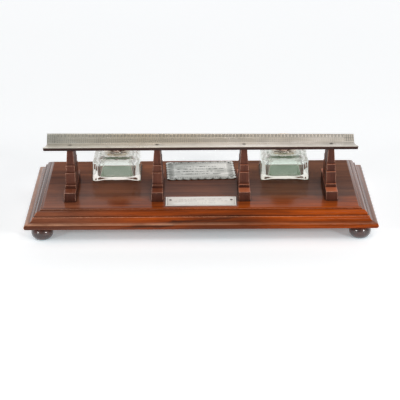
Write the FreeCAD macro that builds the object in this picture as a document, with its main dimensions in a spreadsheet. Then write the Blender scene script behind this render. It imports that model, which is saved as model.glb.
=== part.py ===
"""Desk inkstand in the form of a bridge, as a parametric FreeCAD document.

A two-tier moulded plinth stands on four bun feet.  Four stepped piers carry a long rail with a plated,
back-leaning pen rest.  Two square glass inkwells with hinged lids stand in baize-lined recesses behind
the rail, and two plates are pinned to the plinth.  Millimetres, +Z up.  X runs along the plinth, the front
is -Y, and the origin is under the middle of the plinth, on the surface the feet stand on.
"""
import FreeCAD, Part
import math
import os
import Sketcher

VECTOR = FreeCAD.Vector
TOLERANCE = 1e-4

# ---------------------------------------------------------------- driving dimensions
DIMENSIONS = {
    # plinth: two boards, the moulding runs outward from the edge of the flat top
    "board_length": 356.0,
    "board_width": 178.0,
    "flat_inset": 18.7,
    "lower_thick": 10.8,
    "upper_thick": 6.2,
    "lip_out": 2.8,
    "lip_drop": 0.6,
    "lip_radius": 7.0,
    "ovolo_inner": 3.5,
    "ovolo_drop": 1.4,
    "ovolo_outer": 8.4,
    "ovolo_foot": 0.9,
    "ovolo_radius": 4.6,
    "ledge_out": 10.2,
    "cove_drop": 1.4,
    "cove_outer": 16.2,
    "cove_radius": 6.6,
    "bullnose_out": 17.0,
    "bullnose_height": 5.6,
    "bullnose_radius": 3.2,
    # feet
    "foot_height": 15.0,
    "foot_pad_diameter": 12.0,
    "foot_neck_diameter": 14.0,
    "foot_neck_height": 1.2,
    "foot_side_radius": 7.5,
    "foot_inset_x": 17.0,
    "foot_inset_y": 18.0,
    "spigot_diameter": 8.0,
    "spigot_length": 7.0,
    # piers
    "pier_pitch": 88.9,
    "pier_centre_y": -18.5,
    "pier_height": 49.6,
    # rail
    "rail_thick": 3.0,
    "rail_front_length": 321.0,
    "rail_back_length": 314.8,
    "rail_depth": 39.0,
    "rail_splay_depth": 6.0,
    "rail_undercut": 6.0,
    # plated pen rest, its back bent a little more upright at the left end
    "plate_thick": 0.8,
    "ledge_depth": 12.6,
    "back_run_left": 7.6,
    "back_rise_left": 8.6,
    "back_run_right": 10.2,
    "back_rise_right": 5.4,
    # inkwells
    "well_side": 50.8,
    "well_centre_x": 88.9,
    "well_front_y": 9.6,
    "well_height": 24.4,
    "well_corner": 5.0,
    "well_shoulder": 4.8,
    "cavity_side": 41.0,
    "cavity_corner": 8.0,
    "cavity_floor": 4.2,
    "cavity_roof": 3.0,
    "cavity_roof_radius": 6.4,
    "neck_diameter": 23.0,
    "neck_height": 8.5,
    "dome_foot_diameter": 34.0,
    "dome_height": 2.6,
    "well_taper": 1.6,
    "neck_bore": 16.0,
    "bore_overlap": 1.0,
    "recess_depth": 1.2,
    "recess_gap": 0.3,
    "baize_thick": 0.6,
    # metal mounts of the inkwells
    "collar_diameter": 27.0,
    "collar_height": 9.3,
    "collar_foot_diameter": 29.0,
    "collar_foot_height": 1.6,
    "lid_diameter": 28.0,
    "lid_rim_height": 2.2,
    "lid_height": 6.6,
    "lid_wall": 1.1,
    "lid_gap": 0.1,
    "dome_crown": 0.8,
    "thumb_width": 7.0,
    "thumb_reach": 3.0,
    "thumb_thick": 1.3,
    "thumb_bite": 0.9,
    "hinge_offset": 15.7,
    "knuckle_diameter": 3.6,
    "lid_knuckle_width": 6.0,
    "collar_knuckle_width": 4.0,
    "collar_web_thick": 3.2,
    "collar_web_bite": 2.3,
    "lid_web_bite": 1.0,
    "knuckle_gap": 0.2,
    "hinge_pin_diameter": 1.4,
    "hinge_clearance": 0.04,
    # plates pinned to the top
    "nameplate_length": 72.4,
    "nameplate_width": 25.2,
    "nameplate_thick": 0.8,
    "nameplate_centre_y": -54.4,
    "nameplate_pin_inset": 5.2,
    "nameplate_pin_back": 3.2,
    "plaque_length": 73.6,
    "plaque_width": 56.4,
    "plaque_thick": 1.4,
    "plaque_centre_y": 38.6,
    "plaque_turn": 2.7,
    "plaque_lobe_depth": 1.5,
    "plaque_pin_inset": 5.0,
    "pin_diameter": 1.2,
    "pin_head_diameter": 2.6,
    "pin_head_height": 0.7,
    "pin_length": 4.0,
    # screws
    "rail_screw_diameter": 2.0,
    "rail_screw_head": 4.0,
    "rail_screw_length": 13.0,
    "rail_screw_y": -30.0,
    "pier_screw_diameter": 3.5,
    "pier_screw_head": 7.0,
    "pier_screw_length": 24.0,
    "pier_screw_spread": 22.0,
    "slot_width": 0.6,
    "slot_depth": 0.5,
}

# Each pier is five blocks: top height, half length along the rail and half depth across it.
PIER_BLOCKS = [("block1", 9.8, 5.9, 35.0), ("block2", 13.2, 5.3, 21.6), ("block3", 25.6, 4.9, 19.6),
               ("block4", 33.0, 4.4, 17.6)]
PIER_TOP_FOOT = (4.1, 15.8)
PIER_TOP_HEAD = (3.0, 14.6)

# Lobes along the plaque's front, right, back and left edges.
PLAQUE_LOBES = (9, 7, 9, 7)


class Size:
    """A length with both its value now and the sheet formula that drives it."""

    def __init__(self, value, formula):
        self.value = float(value)
        self.formula = formula

    def _with(self, other, sign, value_of):
        other = as_size(other)
        return Size(value_of(self.value, other.value), "(%s %s %s)" % (self.formula, sign, other.formula))

    def __add__(self, other):
        return self._with(other, "+", lambda a, b: a + b)

    def __sub__(self, other):
        return self._with(other, "-", lambda a, b: a - b)

    def __mul__(self, other):
        return self._with(other, "*", lambda a, b: a * b)

    def __truediv__(self, other):
        return self._with(other, "/", lambda a, b: a / b)

    def __neg__(self):
        return Size(-self.value, "(0 - %s)" % self.formula)


def as_size(number):
    return number if isinstance(number, Size) else Size(number, repr(float(number)))


doc = FreeCAD.newDocument("Inkstand")
sheet = doc.addObject("Spreadsheet::Sheet", "Sizes")
sheet_rows = dict(DIMENSIONS)
for block, top, half_x, half_y in PIER_BLOCKS:
    sheet_rows.update({block + "_top": top, block + "_half_x": half_x, block + "_half_y": half_y})
sheet_rows.update({"shaft_foot_half_x": PIER_TOP_FOOT[0], "shaft_foot_half_y": PIER_TOP_FOOT[1],
                   "shaft_head_half_x": PIER_TOP_HEAD[0], "shaft_head_half_y": PIER_TOP_HEAD[1]})
for row, (alias, number) in enumerate(sheet_rows.items(), start=1):
    sheet.set("A%d" % row, alias.replace("_", " "))
    sheet.set("B%d" % row, repr(number))
    sheet.setAlias("B%d" % row, alias)
doc.recompute()


def dim(alias):
    return Size(sheet_rows[alias], "Sizes." + alias)


# Levels and places that many sub-parts share.
BOARD_BOTTOM = dim("foot_height")
TIER_TOP = BOARD_BOTTOM + dim("lower_thick")
BOARD_TOP = TIER_TOP + dim("upper_thick")
RAIL_BOTTOM = BOARD_TOP + dim("pier_height")
RAIL_TOP = RAIL_BOTTOM + dim("rail_thick")
RAIL_FRONT_Y = dim("pier_centre_y") - dim("rail_depth") / 2
PIER_X = [dim("pier_pitch") * step for step in (-1.5, -0.5, 0.5, 1.5)]
WELL_Y = dim("well_front_y") + dim("well_side") / 2
WELL_BASE = BOARD_TOP - dim("recess_depth") + dim("baize_thick")
WELL_X = {"left": -dim("well_centre_x"), "right": dim("well_centre_x")}
COLLAR_BASE = WELL_BASE + dim("well_height") + dim("dome_height")
HINGE_Z = COLLAR_BASE + dim("collar_height")

subparts = []


# ---------------------------------------------------------------- helpers
def bind(thing, prop, size):
    thing.setExpression(prop, as_size(size).formula)


def place(thing, x=0, y=0, z=0, axis=None, turn=0):
    """Put an object at a place bound to the sheet; a turn is in degrees about the named axis."""
    if axis:
        thing.Placement = FreeCAD.Placement(VECTOR(), FreeCAD.Rotation(VECTOR(*axis), as_size(turn).value))
        bind(thing, "Placement.Rotation.Angle", turn)
    for letter, size in zip("xyz", (x, y, z)):
        bind(thing, "Placement.Base." + letter, size)
    return thing


def finish(name, thing):
    """Give a sub-part its label, which is also its node's name."""
    thing.Label = name
    subparts.append(thing)
    return thing


def box(name, length, width, height, x=0, y=0, z=0):
    """A block centred on x and y that stands on z."""
    block = doc.addObject("Part::Box", name)
    for prop, size in (("Length", length), ("Width", width), ("Height", height)):
        bind(block, prop, size)
    place(block, as_size(x) - as_size(length) / 2, as_size(y) - as_size(width) / 2, z)
    return block


def cylinder(name, diameter, height, x=0, y=0, z=0, axis=None, turn=0):
    rod = doc.addObject("Part::Cylinder", name)
    bind(rod, "Radius", as_size(diameter) / 2)
    bind(rod, "Height", height)
    return place(rod, x, y, z, axis, turn)


def cone(name, low_diameter, high_diameter, height, x=0, y=0, z=0):
    taper = doc.addObject("Part::Cone", name)
    bind(taper, "Radius1", as_size(low_diameter) / 2)
    bind(taper, "Radius2", as_size(high_diameter) / 2)
    bind(taper, "Height", height)
    return place(taper, x, y, z)


def fuse(name, shapes):
    joined = doc.addObject("Part::MultiFuse", name)
    joined.Shapes = shapes
    return joined


def common(name, shapes):
    shared = doc.addObject("Part::MultiCommon", name)
    shared.Shapes = shapes
    return shared


def cut(name, base, tools):
    """Take one or more tools away from a base."""
    rest = doc.addObject("Part::Cut", name)
    rest.Base = base
    rest.Tool = tools[0] if len(tools) == 1 else fuse(name + "_tools", tools)
    return rest


def group(name, shapes):
    """Separate solids kept together as one node."""
    bunch = doc.addObject("Part::Compound", name)
    bunch.Links = shapes
    return bunch


def arc_middle(start, end, radius, left):
    """The middle point of the short arc from start to end, bulging to the left or right of travel."""
    chord = end - start
    half = chord.Length / 2
    sagitta = radius - math.sqrt(radius * radius - half * half)
    side = VECTOR(-chord.y, chord.x, 0).normalize() * (1 if left else -1)
    return (start + end) * 0.5 + side * sagitta


def pin_point(sketch, geometry, position, x, y):
    """Hold a sketch point at a place driven by the sheet."""
    for axis, size, line in (("DistanceX", as_size(x), -2), ("DistanceY", as_size(y), -1)):
        if abs(size.value) < TOLERANCE:
            sketch.addConstraint(Sketcher.Constraint("PointOnObject", geometry, position, line))
            continue
        rule = Sketcher.Constraint(axis, -1, 1, geometry, position, size.value)
        index = sketch.addConstraint(rule)
        sketch.setExpression("Constraints[%d]" % index, size.formula)


def outline(sketch, points):
    """Draw a closed outline.

    Each point is (x, y) for a straight line onward, or (x, y, radius, "left" or "right") for an arc
    onward that bulges to that side of travel.  Sketch arcs run counter-clockwise, so an arc that bulges
    left is drawn from its far end.
    """
    places = [VECTOR(as_size(p[0]).value, as_size(p[1]).value, 0) for p in points]
    ends = []
    for index, point in enumerate(points):
        start, end = places[index], places[(index + 1) % len(points)]
        if len(point) == 2:
            ends.append((sketch.addGeometry(Part.LineSegment(start, end), False), 1, 2))
            continue
        middle = arc_middle(start, end, as_size(point[2]).value, point[3] == "left")
        if point[3] == "right":
            ends.append((sketch.addGeometry(Part.Arc(start, middle, end), False), 1, 2))
        else:
            ends.append((sketch.addGeometry(Part.Arc(end, middle, start), False), 2, 1))
    for index, (geometry, first, _) in enumerate(ends):
        before, _, last = ends[index - 1]
        sketch.addConstraint(Sketcher.Constraint("Coincident", before, last, geometry, first))
        pin_point(sketch, geometry, first, points[index][0], points[index][1])
    for point, (geometry, _, _) in zip(points, ends):
        if len(point) > 2:
            index = sketch.addConstraint(Sketcher.Constraint("Radius", geometry, as_size(point[2]).value))
            sketch.setExpression("Constraints[%d]" % index, as_size(point[2]).formula)
    return sketch


def body_sketch(body, name, role, points):
    """A sketch with one outline on one of a body's own origin planes."""
    sketch = body.newObject("Sketcher::SketchObject", name)
    plane = [item for item in body.Origin.OriginFeatures if item.Role == role][0]
    sketch.AttachmentSupport = [(plane, "")]
    sketch.MapMode = "FlatFace"
    return outline(sketch, points)


def turned(name, points, x=0, y=0, z=0):
    """A piece turned about +Z from a half outline of (radius, height) points, as a PartDesign body."""
    body = doc.addObject("PartDesign::Body", name)
    sketch = body_sketch(body, name + "_profile", "XZ_Plane", points)
    spin = body.newObject("PartDesign::Revolution", name + "_turning")
    spin.Profile = sketch
    spin.ReferenceAxis = (sketch, ["V_Axis"])
    spin.Angle = 360.0
    return place(body, x, y, z)


def mirrored(side):
    """Close a right-hand outline of (half width, height) points with its own mirror image."""
    points = list(side)
    last = len(side) - 1
    for index in range(last, -1, -1):
        x, y = -as_size(side[index][0]), side[index][1]
        arc = side[index - 1][2:] if index > 0 else ()
        points.append((x, y) + tuple(arc))
    return points


def stepped_block(name, side_x, side_y, reach):
    """The solid whose outline is side_x seen from the front and side_y seen from the end."""
    prisms = []
    for letter, side, turn in (("x", side_x, 0), ("y", side_y, 90)):
        sketch = doc.addObject("Sketcher::SketchObject", "%s_outline_%s" % (name, letter))
        upright = FreeCAD.Rotation(VECTOR(1, 0, 0), 90)
        sketch.Placement = FreeCAD.Placement(VECTOR(), FreeCAD.Rotation(VECTOR(0, 0, 1), turn) * upright)
        outline(sketch, mirrored(side))
        prism = doc.addObject("Part::Extrusion", "%s_prism_%s" % (name, letter))
        prism.Base = sketch
        prism.DirMode = "Normal"
        prism.Symmetric = True
        prism.Solid = True
        bind(prism, "LengthFwd", reach)
        prisms.append(prism)
    return common(name + "_block", prisms)


# ---------------------------------------------------------------- plinth
def lower_edge(half):
    """The lower tier's edge: bullnose, then a cove up to a narrow ledge."""
    flat = half - dim("flat_inset")
    height = dim("lower_thick")
    return [(flat + dim("bullnose_out"), 0, dim("bullnose_radius"), "right"),
            (flat + dim("bullnose_out"), dim("bullnose_height")),
            (flat + dim("cove_outer"), dim("bullnose_height"), dim("cove_radius"), "left"),
            (flat + dim("ledge_out"), height - dim("cove_drop")),
            (flat + dim("ledge_out"), height)]


def upper_edge(half):
    """The upper tier's edge: an ovolo, a small step and a soft lip up to the flat."""
    flat = half - dim("flat_inset")
    height = dim("upper_thick")
    return [(flat + dim("ovolo_outer"), 0),
            (flat + dim("ovolo_outer"), dim("ovolo_foot"), dim("ovolo_radius"), "right"),
            (flat + dim("ovolo_inner"), height - dim("ovolo_drop")),
            (flat + dim("lip_out"), height - dim("ovolo_drop")),
            (flat + dim("lip_out"), height - dim("lip_drop"), dim("lip_radius"), "right"),
            (flat, height)]


def foot_places():
    x = dim("board_length") / 2 - dim("foot_inset_x")
    y = dim("board_width") / 2 - dim("foot_inset_y")
    return {"front_left": (-x, -y), "front_right": (x, -y), "back_left": (-x, y), "back_right": (x, y)}


def pier_screw_places():
    reach = dim("pier_screw_spread")
    return [(x, dim("pier_centre_y") + side) for x in PIER_X for side in (-reach, reach)]


def screw_hole(name, x, y):
    """Clearance through both tiers for a screw into a pier, countersunk from below."""
    sink = (dim("pier_screw_head") - dim("pier_screw_diameter")) / 2
    shank = cylinder(name + "_shank", dim("pier_screw_diameter"), BOARD_TOP - BOARD_BOTTOM, x, y, BOARD_BOTTOM)
    head = cone(name + "_sink", dim("pier_screw_head"), dim("pier_screw_diameter"), sink, x, y, BOARD_BOTTOM)
    return [shank, head]


def make_plinth():
    half_x, half_y = dim("board_length") / 2, dim("board_width") / 2
    screw_tools = [tool for index, (x, y) in enumerate(pier_screw_places())
                   for tool in screw_hole("pier_hole_%d" % index, x, y)]
    spigots = [cylinder("spigot_hole_" + corner, dim("spigot_diameter"), dim("spigot_length"),
                        x, y, BOARD_BOTTOM) for corner, (x, y) in foot_places().items()]
    lower = stepped_block("lower", lower_edge(half_x), lower_edge(half_y), dim("board_length") * 2)
    place(lower, 0, 0, BOARD_BOTTOM)
    finish("lower_board", cut("lower_board", lower, screw_tools + spigots))

    upper = stepped_block("upper", upper_edge(half_x), upper_edge(half_y), dim("board_length") * 2)
    place(upper, 0, 0, TIER_TOP)
    shanks = [cylinder("shank_hole_%d" % index, dim("pier_screw_diameter"), dim("upper_thick"), x, y, TIER_TOP)
              for index, (x, y) in enumerate(pier_screw_places())]
    opening = dim("well_side") + dim("recess_gap") * 2
    recesses = [box("recess_" + side, opening, opening, dim("recess_depth"), x, WELL_Y,
                    BOARD_TOP - dim("recess_depth")) for side, x in WELL_X.items()]
    pin_holes = [cylinder("pin_hole_%d" % index, dim("pin_diameter"), dim("pin_length"), x, y,
                          BOARD_TOP - dim("pin_length"))
                 for index, (x, y) in enumerate(nameplate_pin_places() + plaque_pin_places())]
    finish("upper_board", cut("upper_board", upper, shanks + recesses + pin_holes))


def make_feet():
    """Bun feet: a flattened ball with a short neck and a glued spigot."""
    height = dim("foot_height") - dim("foot_neck_height")
    points = [(0, 0), (dim("foot_pad_diameter") / 2, 0, dim("foot_side_radius"), "right"),
              (dim("foot_neck_diameter") / 2, height), (dim("foot_neck_diameter") / 2, dim("foot_height")),
              (dim("spigot_diameter") / 2, dim("foot_height")),
              (dim("spigot_diameter") / 2, dim("foot_height") + dim("spigot_length")),
              (0, dim("foot_height") + dim("spigot_length"))]
    for corner, (x, y) in foot_places().items():
        finish("foot_" + corner, turned("foot_" + corner, points, x, y))


# ---------------------------------------------------------------- piers and rail
def pier_side(letter):
    """A pier's right-hand outline, seen from the front (x) or from the end (y)."""
    side = []
    level = as_size(0)
    for block, _, _, _ in PIER_BLOCKS:
        half = dim("%s_half_%s" % (block, letter))
        side += [(half, level), (half, dim(block + "_top"))]
        level = dim(block + "_top")
    side.append((dim("shaft_foot_half_" + letter), level))
    side.append((dim("shaft_head_half_" + letter), dim("pier_height")))
    return side


def make_piers():
    names = ["pier_outer_left", "pier_inner_left", "pier_inner_right", "pier_outer_right"]
    for index, (name, x) in enumerate(zip(names, PIER_X)):
        block = stepped_block(name, pier_side("x"), pier_side("y"), dim("board_width"))
        place(block, x, dim("pier_centre_y"), BOARD_TOP)
        bites = [cylinder("%s_bite_%d" % (name, side), dim("pier_screw_diameter"),
                          dim("pier_screw_length") - dim("lower_thick") - dim("upper_thick"), *spot, BOARD_TOP)
                 for side, spot in enumerate(pier_screw_places()[2 * index:2 * index + 2])]
        top_hole = cylinder(name + "_top_hole", dim("rail_screw_diameter"), rail_screw_bite(),
                            x, dim("rail_screw_y"), RAIL_BOTTOM - rail_screw_bite())
        finish(name, cut(name, block, bites + [top_hole]))

    screws = []
    for index, (x, y) in enumerate(pier_screw_places()):
        sink = (dim("pier_screw_head") - dim("pier_screw_diameter")) / 2
        head = cone("pier_screw_head_%d" % index, dim("pier_screw_head"), dim("pier_screw_diameter"), sink,
                    x, y, BOARD_BOTTOM)
        shank = cylinder("pier_screw_shank_%d" % index, dim("pier_screw_diameter"), dim("pier_screw_length"),
                         x, y, BOARD_BOTTOM)
        slot = box("pier_screw_slot_%d" % index, dim("pier_screw_head"), dim("slot_width"), dim("slot_depth"),
                   x, y, BOARD_BOTTOM)
        screws.append(cut("pier_screw_%d" % index, fuse("pier_screw_blank_%d" % index, [head, shank]), [slot]))
    finish("pier_screws", group("pier_screws", screws))


def rail_screw_bite():
    """How far a rail screw goes into its pier."""
    return dim("rail_screw_length") - dim("plate_thick") - dim("rail_thick")


def rail_screw_tools(name, top):
    """Cone and shank of a countersunk rail screw at each pier, with the head flush with a level."""
    sink = (dim("rail_screw_head") - dim("rail_screw_diameter")) / 2
    tools = []
    for index, x in enumerate(PIER_X):
        shank = cylinder("%s_shank_%d" % (name, index), dim("rail_screw_diameter"), dim("rail_screw_length"),
                         x, dim("rail_screw_y"), top - dim("rail_screw_length"))
        head = cone("%s_head_%d" % (name, index), dim("rail_screw_diameter"), dim("rail_screw_head"), sink,
                    x, dim("rail_screw_y"), top - sink)
        tools.append((shank, head))
    return tools


def rail_plan(depth):
    """The rail's plan: full length along the front edge, splayed in to a shorter back."""
    front, back = dim("rail_front_length") / 2, dim("rail_back_length") / 2
    return [(-front, 0), (front, 0), (back, dim("rail_splay_depth")), (back, depth), (-back, depth),
            (-back, dim("rail_splay_depth"))]


def girder_section(side, end):
    """Section of the bent sheet at one end of the rail: a flat ledge, then a back that leans away."""
    thick, ledge = dim("plate_thick"), dim("ledge_depth")
    run, rise = dim("back_run_" + side), dim("back_rise_" + side)
    slope = math.atan2(rise.value, run.value)
    across, up = thick * math.sin(slope), thick * math.cos(slope)
    inner = thick * math.tan(slope / 2)
    section = doc.addObject("Sketcher::SketchObject", "girder_section_" + side)
    section.Placement = FreeCAD.Placement(VECTOR(), FreeCAD.Rotation(VECTOR(1, 1, 1), 120))
    bind(section, "Placement.Base.x", dim("rail_front_length") * end)
    return outline(section, [
        (0, 0), (ledge + inner, 0), (ledge + run + across, rise + thick - up),
        (ledge + run, rise + thick), (ledge, thick), (0, thick)])


def make_rail():
    slat = doc.addObject("PartDesign::Body", "rail_slat")
    plan = body_sketch(slat, "rail_plan", "XY_Plane", rail_plan(dim("rail_depth")))
    pad = slat.newObject("PartDesign::Pad", "rail_pad")
    pad.Profile = plan
    bind(pad, "Length", dim("rail_thick"))
    bind(pad, "TaperAngle", -dim("rail_undercut"))
    pad.Reversed = True
    place(slat, 0, RAIL_FRONT_Y, RAIL_TOP)
    plate_top = RAIL_TOP + dim("plate_thick")
    holes = [tool for pair in rail_screw_tools("slat_hole", plate_top) for tool in pair]
    finish("rail_board", cut("rail_board", slat, holes))

    rest = doc.addObject("Part::Loft", "girder_blank")
    rest.Sections = [girder_section(side, end) for side, end in (("left", -0.5), ("right", 0.5))]
    rest.Solid = True
    rest.Ruled = True
    trim = doc.addObject("PartDesign::Body", "girder_trim")
    trim_plan = body_sketch(trim, "girder_plan", "XY_Plane", rail_plan(dim("rail_depth")))
    trim_pad = trim.newObject("PartDesign::Pad", "girder_trim_pad")
    trim_pad.Profile = trim_plan
    bind(trim_pad, "Length", (dim("back_rise_left") + dim("plate_thick")) * 2)
    blank = common("girder_shape", [rest, trim])
    place(blank, 0, RAIL_FRONT_Y, RAIL_TOP)
    holes = [tool for pair in rail_screw_tools("plate_hole", plate_top) for tool in pair]
    finish("girder_plate", cut("girder_plate", blank, holes))

    screws = []
    for index, (shank, head) in enumerate(rail_screw_tools("rail_screw", plate_top)):
        slot = box("rail_screw_slot_%d" % index, dim("rail_screw_head"), dim("slot_width"), dim("slot_depth"),
                   PIER_X[index], dim("rail_screw_y"), plate_top - dim("slot_depth"))
        blank = fuse("rail_screw_blank_%d" % index, [shank, head])
        screws.append(cut("rail_screw_cut_%d" % index, blank, [slot]))
    finish("rail_screws", group("rail_screws", screws))


# ---------------------------------------------------------------- inkwells
def rounded_square(side, corner):
    half, inner = side / 2, side / 2 - corner
    return [(inner, -half, corner, "right"), (half, -inner), (half, inner, corner, "right"), (inner, half),
            (-inner, half, corner, "right"), (-half, inner), (-half, -inner, corner, "right"), (-inner, -half)]


def square_prism(name, side, corner, height, z, taper=0):
    body = doc.addObject("PartDesign::Body", name)
    sketch = body_sketch(body, name + "_plan", "XY_Plane", rounded_square(side, corner))
    pad = body.newObject("PartDesign::Pad", name + "_pad")
    pad.Profile = sketch
    bind(pad, "Length", height)
    bind(pad, "TaperAngle", -as_size(taper))
    return place(body, 0, 0, z)


def round_top_edges(name, base, level, radius):
    """Round every edge of a solid that lies at one height."""
    doc.recompute()
    edges = [number for number, edge in enumerate(base.Shape.Edges, start=1)
             if max(abs(edge.BoundBox.ZMin - level.value), abs(edge.BoundBox.ZMax - level.value)) < TOLERANCE]
    rounded = doc.addObject("Part::Fillet", name)
    rounded.Base = base
    rounded.Edges = [(number, radius.value, radius.value) for number in edges]
    return rounded


def make_bottle(side):
    """A thick square glass bottle with a square cavity, rounded shoulders and a short round neck."""
    name = side + "_bottle"
    height = dim("well_height")
    neck_base = height + dim("dome_height")
    blank = square_prism(name + "_outer", dim("well_side"), dim("well_corner"), height, 0, dim("well_taper"))
    shoulders = round_top_edges(name + "_shoulders", blank, height, dim("well_shoulder"))
    dome = cone(name + "_dome", dim("dome_foot_diameter"), dim("neck_diameter"), dim("dome_height"),
                0, 0, height)
    neck = cylinder(name + "_neck", dim("neck_diameter"), dim("neck_height"), 0, 0, neck_base)
    roof = height - dim("cavity_roof")
    hollow = square_prism(name + "_hollow", dim("cavity_side"), dim("cavity_corner"),
                          roof - dim("cavity_floor"), dim("cavity_floor"))
    cavity = round_top_edges(name + "_cavity", hollow, roof, dim("cavity_roof_radius"))
    bore_base = roof - dim("bore_overlap")
    bore = cylinder(name + "_bore", dim("neck_bore"), neck_base + dim("neck_height") - bore_base,
                    0, 0, bore_base)
    glass = cut(name, fuse(name + "_solid", [shoulders, dome, neck]), [cavity, bore])
    finish(name, place(glass, WELL_X[side], WELL_Y, WELL_BASE))


def make_baize(side):
    pad_side = dim("well_side")
    finish(side + "_baize_pad", box(side + "_baize_pad", pad_side, pad_side, dim("baize_thick"), WELL_X[side],
                                    WELL_Y, BOARD_TOP - dim("recess_depth")))


def knuckle(name, width, centre_x):
    return cylinder(name, dim("knuckle_diameter"), width, as_size(centre_x) - width / 2,
                    dim("hinge_offset"), 0, (0, 1, 0), 90)


def hinge_length():
    return dim("lid_knuckle_width") + (dim("collar_knuckle_width") + dim("knuckle_gap")) * 2


def pin_bore(name):
    """The hinge pin's running hole through every knuckle."""
    length = hinge_length()
    return cylinder(name, dim("hinge_pin_diameter") + dim("hinge_clearance") * 2, length, -length / 2,
                    dim("hinge_offset"), 0, (0, 1, 0), 90)


def make_collar(side):
    """The metal collar cemented round the neck, with two hinge knuckles at the back."""
    name = side + "_collar"
    neck, top = dim("neck_diameter") / 2, dim("collar_height")
    body_radius, foot_radius = dim("collar_diameter") / 2, dim("collar_foot_diameter") / 2
    mouth = dim("neck_bore") / 2
    ring = turned(name + "_ring", [
        (neck, 0), (foot_radius, 0, dim("collar_foot_height"), "right"),
        (body_radius, dim("collar_foot_height")), (body_radius, top), (mouth, top),
        (mouth, dim("neck_height")), (neck, dim("neck_height"))], 0, 0, -top)
    width, web_thick = dim("collar_knuckle_width"), dim("collar_web_thick")
    web_depth = dim("hinge_offset") - body_radius + dim("collar_web_bite")
    knuckles = []
    for hand, sign in (("left", -1), ("right", 1)):
        centre = (dim("lid_knuckle_width") / 2 + dim("knuckle_gap") + width / 2) * sign
        knuckles.append(knuckle("%s_knuckle_%s" % (name, hand), width, centre))
        knuckles.append(box("%s_web_%s" % (name, hand), width, web_depth, web_thick, centre,
                            dim("hinge_offset") - web_depth / 2, -web_thick))
    solid = fuse(name + "_solid", [ring] + knuckles)
    finish(name, place(cut(name, solid, [pin_bore(name + "_pin_bore")]), WELL_X[side], WELL_Y, HINGE_Z))


def dome_radius(half, rise):
    """The arc radius of a dome that reaches its small flat crown level, with no kink."""
    reach = half - dim("dome_crown") / 2
    return (reach * reach + rise * rise) / (rise * 2)


def make_lid(side):
    """A low domed lid, hollow beneath, with one knuckle at the back and a thumb piece in front."""
    name = side + "_lid"
    outer, wall = dim("lid_diameter") / 2, dim("lid_wall")
    rim, top, gap = dim("lid_rim_height"), dim("lid_height"), dim("lid_gap")
    inner, inner_rim, crown = outer - wall, rim - wall / 2, dim("dome_crown") / 2
    shell = turned(name + "_dome", [
        (0, top - wall), (crown, top - wall, dome_radius(inner, top - wall - inner_rim), "left"),
        (inner, inner_rim), (inner, gap), (outer, gap), (outer, rim, dome_radius(outer, top - rim), "right"),
        (crown, top), (0, top)])
    width = dim("lid_knuckle_width")
    web_depth = dim("hinge_offset") - outer + dim("lid_web_bite")
    web = box(name + "_web", width, web_depth, dim("knuckle_diameter") / 2 - gap, 0,
              dim("hinge_offset") - web_depth / 2, gap)
    barrel = knuckle(name + "_knuckle", width, 0)
    reach, bite = dim("thumb_reach"), dim("thumb_bite")
    thumb = box(name + "_thumb", dim("thumb_width"), reach + bite, dim("thumb_thick"), 0,
                (bite - reach) / 2 - outer, gap)
    solid = fuse(name + "_solid", [shell, web, barrel, thumb])
    finish(name, place(cut(name, solid, [pin_bore(name + "_pin_bore")]), WELL_X[side], WELL_Y, HINGE_Z))


def make_hinge_pin(side):
    length = hinge_length()
    finish(side + "_hinge_pin", cylinder(side + "_hinge_pin", dim("hinge_pin_diameter"), length,
                                         WELL_X[side] - length / 2, WELL_Y + dim("hinge_offset"), HINGE_Z,
                                         (0, 1, 0), 90))


# ---------------------------------------------------------------- plates on the top
def nameplate_pin_places():
    x = dim("nameplate_length") / 2 - dim("nameplate_pin_inset")
    y = dim("nameplate_centre_y") + dim("nameplate_pin_back")
    return [(-x, y), (x, y)]


def plaque_pin_places():
    """The plaque's corner pins, turned with it."""
    turn = math.radians(dim("plaque_turn").value)
    half_x = dim("plaque_length") / 2 - dim("plaque_pin_inset")
    half_y = dim("plaque_width") / 2 - dim("plaque_pin_inset")
    places = []
    for x, y in ((-half_x, -half_y), (half_x, -half_y), (half_x, half_y), (-half_x, half_y)):
        places.append((x * math.cos(turn) - y * math.sin(turn),
                       dim("plaque_centre_y") + x * math.sin(turn) + y * math.cos(turn)))
    return places


def make_pins(name, places, plate_thick):
    """Round-headed pins whose heads stand on a plate."""
    pins = []
    for index, (x, y) in enumerate(places):
        level = BOARD_TOP + plate_thick
        shank = cylinder("%s_shank_%d" % (name, index), dim("pin_diameter"), plate_thick + dim("pin_length"),
                         x, y, BOARD_TOP - dim("pin_length"))
        radius, rise, crown = dim("pin_head_diameter") / 2, dim("pin_head_height"), dim("dome_crown") / 2
        head = turned("%s_head_%d" % (name, index), [
            (0, 0), (radius, 0, dome_radius(radius, rise), "right"), (crown, rise), (0, rise)], x, y, level)
        pins.append(fuse("%s_%d" % (name, index), [shank, head]))
    finish(name, group(name, pins))


def make_nameplate():
    plate = box("nameplate_blank", dim("nameplate_length"), dim("nameplate_width"), dim("nameplate_thick"),
                0, dim("nameplate_centre_y"), BOARD_TOP)
    holes = [cylinder("nameplate_hole_%d" % index, dim("pin_diameter"), dim("nameplate_thick"),
                      x, y, BOARD_TOP) for index, (x, y) in enumerate(nameplate_pin_places())]
    finish("nameplate", cut("nameplate", plate, holes))
    make_pins("nameplate_pins", nameplate_pin_places(), dim("nameplate_thick"))


def scalloped_edge(start, end, lobes, depth):
    """Arcs from one corner to the next, each lobe bulging outward from a line set in by its depth."""
    step = (end - start) * (1.0 / lobes)
    outward = VECTOR(step.y, -step.x, 0).normalize()
    arcs = []
    for index in range(lobes):
        first = start + step * index
        middle = first + step * 0.5 + outward * depth
        arcs.append(Part.Arc(first, middle, first + step).toShape())
    return arcs


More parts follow.
